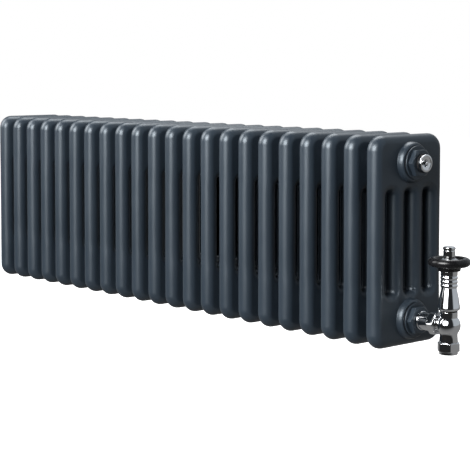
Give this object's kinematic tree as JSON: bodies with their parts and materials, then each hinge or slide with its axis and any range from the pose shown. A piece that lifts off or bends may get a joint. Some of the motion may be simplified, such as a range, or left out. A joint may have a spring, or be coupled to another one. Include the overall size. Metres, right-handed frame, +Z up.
{
  "type": "radiator with valve",
  "caption": "Wall-hung column radiator in dark painted steel, with an air vent and an angled thermostatic valve that has a bell-shaped chrome housing and a black handwheel.",
  "frame": {"origin": "where the wall brackets carry the radiator: the middle of the sections' length, level with the underside of the lower hubs, on the plane of the rear tubes' backs", "axes": "+X along the radiator towards the valve end, +Y towards the wall, +Z up"},
  "size_m": [1.1003, 0.1405, 0.3012],
  "materials": {
    "paint": "satin",
    "chrome": "polished",
    "brass": "satin",
    "steel": "satin",
    "rubber": "matte",
    "handwheel": "gloss",
    "spindle_plastic": "matte"
  },
  "bodies": {
    "root": {"section_01": "paint", "section_02": "paint", "section_03": "paint", "section_04": "paint", "section_05": "paint", "section_06": "paint", "section_07": "paint", "section_08": "paint", "section_09": "paint", "section_10": "paint", "section_11": "paint", "section_12": "paint", "section_13": "paint", "section_14": "paint", "section_15": "paint", "section_16": "paint", "section_17": "paint", "section_18": "paint", "section_19": "paint", "section_20": "paint", "section_21": "paint", "section_22": "paint", "bush_valve_end_top": "paint", "bush_valve_end_bottom": "paint", "bush_far_end_top": "paint", "bush_far_end_bottom": "paint", "bush_gasket_valve_end_top": "rubber", "bush_gasket_valve_end_bottom": "rubber", "bush_gasket_far_end_top": "rubber", "bush_gasket_far_end_bottom": "rubber", "vent_plug_ring": "rubber", "blanking_plug_ring": "rubber", "union_washer": "rubber", "insert_washer": "rubber", "gland_ring": "rubber", "vent_plug": "chrome", "blanking_plug": "chrome", "valve_body": "chrome", "pipe_nut": "chrome", "union_tail": "chrome", "union_nut": "chrome", "bell_housing": "chrome", "ribbed_neck": "chrome", "pipe_olive": "brass", "valve_insert": "brass", "gland_nut": "brass", "coupling_nut": "brass", "return_spring": "steel", "wheel_clip": "steel"},
    "handwheel": {"handwheel": "handwheel", "wheel_washer": "chrome", "top_knob": "chrome", "knob_screw": "steel"},
    "setting": {"setting_spindle": "spindle_plastic", "sensor_capsule": "steel"},
    "pin": {"valve_pin": "steel", "valve_disc": "rubber", "disc_holder": "brass"},
    "bleed_screw": {"bleed_screw": "chrome"}
  },
  "joints": [
    {"name": "handwheel_turn", "type": "hinge", "parent": "root", "child": "handwheel", "pos_m": [0.55655, -0.07025, 0.114], "axis": [0, 0, 1], "range_deg": [-300, 0]},
    {"name": "setting_travel", "type": "slide", "parent": "root", "child": "setting", "axis": [0, 0, 1], "range_m": [-0.00251, 0]},
    {"name": "pin_travel", "type": "slide", "parent": "root", "child": "pin", "axis": [0, 0, 1], "range_m": [-0.00251, 0], "deforming": ["return_spring"]},
    {"name": "bleed_turn", "type": "hinge", "parent": "root", "child": "bleed_screw", "pos_m": [0.51, -0.07025, 0.248], "axis": [1, 0, 0], "range_deg": [0, 360]}
  ],
  "couplings": [
    {"joint": "setting_travel", "follows": "handwheel_turn", "m_per_rad": 0.00047746},
    {"joint": "pin_travel", "follows": "handwheel_turn", "m_per_rad": 0.00047746}
  ]
}
